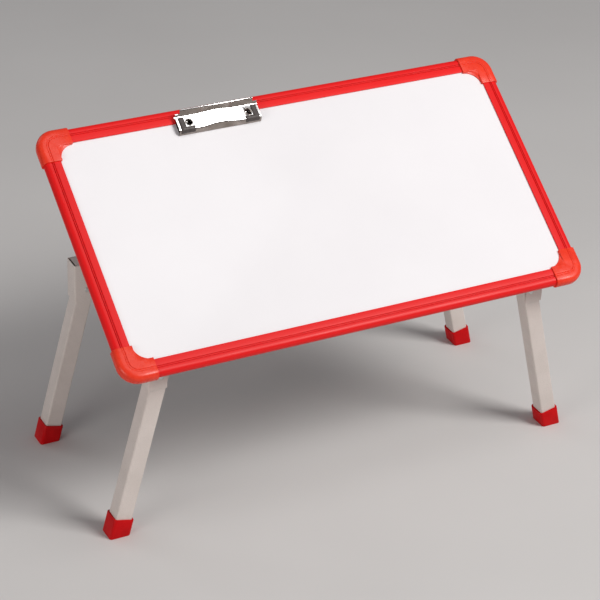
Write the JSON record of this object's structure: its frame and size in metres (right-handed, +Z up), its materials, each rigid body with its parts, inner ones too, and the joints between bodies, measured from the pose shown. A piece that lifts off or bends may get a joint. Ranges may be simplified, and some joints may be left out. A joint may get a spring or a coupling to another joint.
{
  "type": "portable drawing board",
  "caption": "Small tilting whiteboard in a red rounded frame with a paper clip on its rear edge, hinged on a low base with splayed folding legs, for writing or drawing over the lap.",
  "frame": {"origin": "on the floor, under the centre of the whole object with its legs open and its board raised", "axes": "+X along the board, to the writer's right; +Y away from the writer; +Z up"},
  "size_m": [0.592, 0.262, 0.4023],
  "materials": {
    "whiteboard": "glossy white laminate",
    "hardboard": "pressed hardboard",
    "backing": "matt grey sheet",
    "profile_red": "satin red extrusion",
    "cap_red": "glossy moulded orange-red",
    "foot_red": "moulded deep red",
    "frame_paint": "satin warm light grey powder coat",
    "chrome": "polished plate",
    "zinc_steel": "zinc-plated steel",
    "grip_rubber": "dark grey rubber"
  },
  "bodies": {
    "base": {"front_rail": "frame_paint", "rear_rail": "frame_paint", "cross_member_left": "frame_paint", "cross_member_right": "frame_paint", "leg_bracket_front_left": "frame_paint", "leg_bracket_front_right": "frame_paint", "leg_bracket_rear_left": "frame_paint", "leg_bracket_rear_right": "frame_paint", "leg_pivot_rivets": "zinc_steel", "hinge_rail_leaves": "zinc_steel", "hinge_rail_rivets": "zinc_steel"},
    "board": {"writing_surface": "whiteboard", "core_panel": "hardboard", "back_sheet": "backing", "frame_front": "profile_red", "frame_rear": "profile_red", "frame_left": "profile_red", "frame_right": "profile_red", "corner_cap_front_left": "cap_red", "corner_cap_front_right": "cap_red", "corner_cap_rear_left": "cap_red", "corner_cap_rear_right": "cap_red", "corner_cap_screws": "zinc_steel", "clip_base": "chrome", "clip_rivets": "chrome", "clip_hinge_pin": "chrome", "clip_spring": "zinc_steel", "hinge_board_leaves": "zinc_steel", "hinge_board_rivets": "zinc_steel", "hinge_pins": "zinc_steel", "prop_brackets": "zinc_steel", "prop_bracket_rivets": "zinc_steel", "prop_pivot_pins": "zinc_steel"},
    "prop": {"prop_arm_left": "zinc_steel", "prop_arm_right": "zinc_steel", "prop_foot_bar": "zinc_steel", "foot_bar_retainers": "zinc_steel"},
    "clip_jaw": {"clip_jaw": "chrome", "clip_grips": "grip_rubber"},
    "leg_front_left": {"leg_front_left": "frame_paint", "foot_cap_front_left": "foot_red"},
    "leg_front_right": {"leg_front_right": "frame_paint", "foot_cap_front_right": "foot_red"},
    "leg_rear_left": {"leg_rear_left": "frame_paint", "foot_cap_rear_left": "foot_red"},
    "leg_rear_right": {"leg_rear_right": "frame_paint", "foot_cap_rear_right": "foot_red"}
  },
  "joints": [
    {"name": "board_tilt", "type": "hinge", "parent": "base", "child": "board", "pos_m": [0, -0.10401, 0.2285], "axis": [1, 0, 0], "range_deg": [-35, 0]},
    {"name": "prop_swing", "type": "hinge", "parent": "board", "child": "prop", "pos_m": [0, -0.02215, 0.2807], "axis": [1, 0, 0], "range_deg": [0, 70]},
    {"name": "clip_open", "type": "hinge", "parent": "board", "child": "clip_jaw", "pos_m": [-0.0751, 0.10787, 0.39053], "axis": [-1, 0, 0], "range_deg": [0, 16], "stiffness_Nm_per_rad": 0.3, "springref_deg": -17.19},
    {"name": "leg_fold_front_left", "type": "hinge", "parent": "base", "child": "leg_front_left", "pos_m": [-0.2345, -0.09071, 0.197], "axis": [0, -1, 0], "range_deg": [0, 104]},
    {"name": "leg_fold_front_right", "type": "hinge", "parent": "base", "child": "leg_front_right", "pos_m": [0.2345, -0.09071, 0.197], "axis": [0, 1, 0], "range_deg": [0, 104]},
    {"name": "leg_fold_rear_left", "type": "hinge", "parent": "base", "child": "leg_rear_left", "pos_m": [-0.2345, 0.11799, 0.197], "axis": [0, -1, 0], "range_deg": [0, 104]},
    {"name": "leg_fold_rear_right", "type": "hinge", "parent": "base", "child": "leg_rear_right", "pos_m": [0.2345, 0.11799, 0.197], "axis": [0, 1, 0], "range_deg": [0, 104]}
  ],
  "couplings": [
    {"joint": "prop_swing", "follows": "board_tilt", "ratio": -2}
  ]
}
